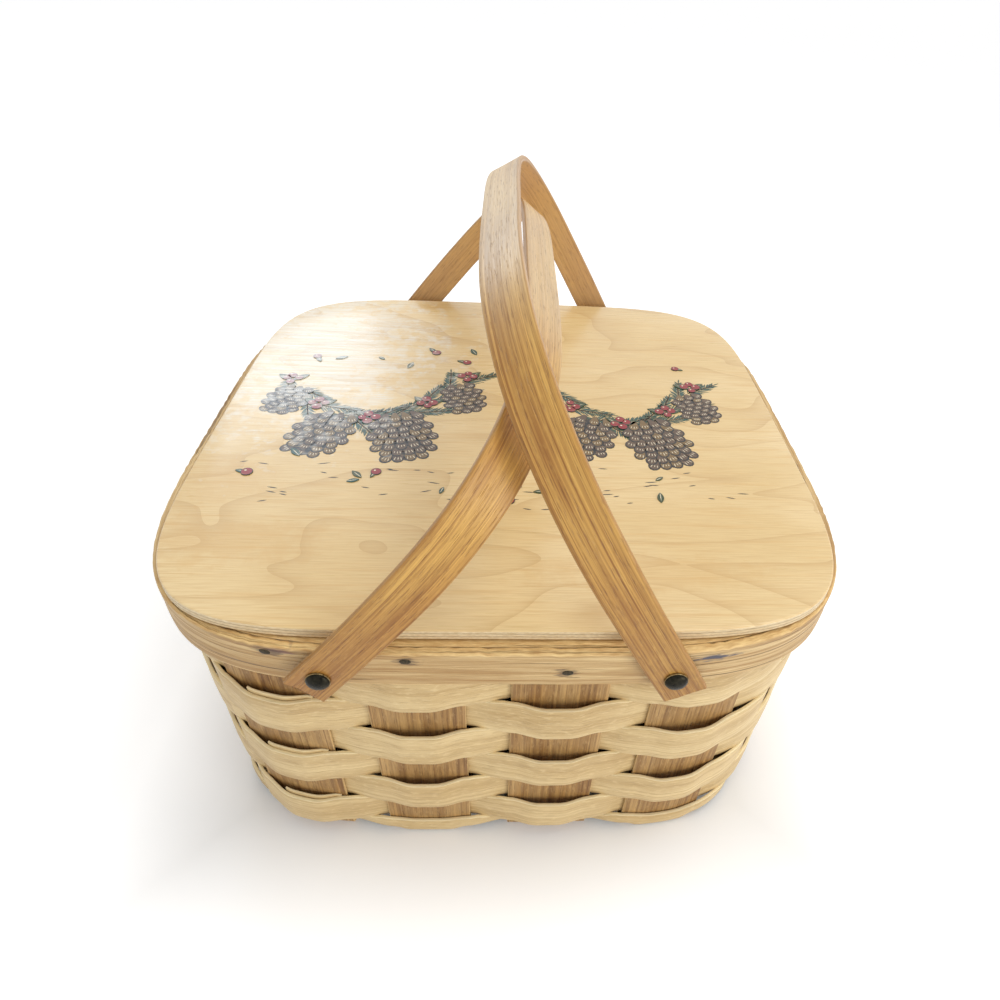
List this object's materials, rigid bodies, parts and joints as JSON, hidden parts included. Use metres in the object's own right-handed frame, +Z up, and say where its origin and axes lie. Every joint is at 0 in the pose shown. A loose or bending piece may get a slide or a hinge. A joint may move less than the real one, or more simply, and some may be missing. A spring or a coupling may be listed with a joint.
{
  "type": "pie basket",
  "caption": "Square woven splint pie basket with a loose plywood lid and two swinging bentwood handles riveted to its rim.",
  "frame": {"origin": "on the floor under the middle of the basket", "axes": "+Z up, -Y the front, +X to the right as seen from the front; the handles' axes run along Y"},
  "size_m": [0.319, 0.3316, 0.2883],
  "materials": {
    "weaver_wood": "pale ash splint, satin",
    "stake_wood": "brown ash splint, satin",
    "hoop_wood": "coarse-grained ash, satin",
    "lid_ply": "birch plywood, gloss varnish",
    "cleat_wood": "plain sawn wood",
    "handle_wood": "oak-coloured bentwood, satin varnish",
    "rivet_metal": "dark antiqued metal"
  },
  "bodies": {
    "basket": {"rim_hoop_outer": "hoop_wood", "rim_hoop_inner": "hoop_wood", "weaver_rim": "weaver_wood", "weaver_1": "weaver_wood", "weaver_2": "weaver_wood", "weaver_3": "weaver_wood", "weaver_4": "weaver_wood", "weaver_5": "weaver_wood", "weaver_6": "weaver_wood", "weaver_heel": "weaver_wood", "stake_cross_1": "stake_wood", "stake_cross_2": "stake_wood", "stake_cross_3": "stake_wood", "stake_cross_4": "stake_wood", "stake_long_1": "stake_wood", "stake_long_2": "stake_wood", "stake_long_3": "stake_wood", "stake_long_4": "stake_wood", "rivet_front_right": "rivet_metal", "rivet_back_right": "rivet_metal", "rivet_front_left": "rivet_metal", "rivet_back_left": "rivet_metal", "washer_front_right": "rivet_metal", "washer_back_right": "rivet_metal", "washer_front_left": "rivet_metal", "washer_back_left": "rivet_metal"},
    "lid": {"lid_panel": "lid_ply", "lid_cleat_front": "cleat_wood", "lid_cleat_back": "cleat_wood"},
    "right_handle": {"handle_right": "handle_wood"},
    "left_handle": {"handle_left": "handle_wood"}
  },
  "joints": [
    {"name": "lid_lift", "type": "slide", "parent": "basket", "child": "lid", "axis": [0, 0, 1], "range_m": [0, 0.035]},
    {"name": "right_handle_swing", "type": "hinge", "parent": "basket", "child": "right_handle", "pos_m": [0.0684, 0, 0.1527], "axis": [0, 1, 0], "range_deg": [0, 170]},
    {"name": "left_handle_swing", "type": "hinge", "parent": "basket", "child": "left_handle", "pos_m": [-0.0712, 0, 0.1527], "axis": [0, -1, 0], "range_deg": [0, 177]}
  ]
}
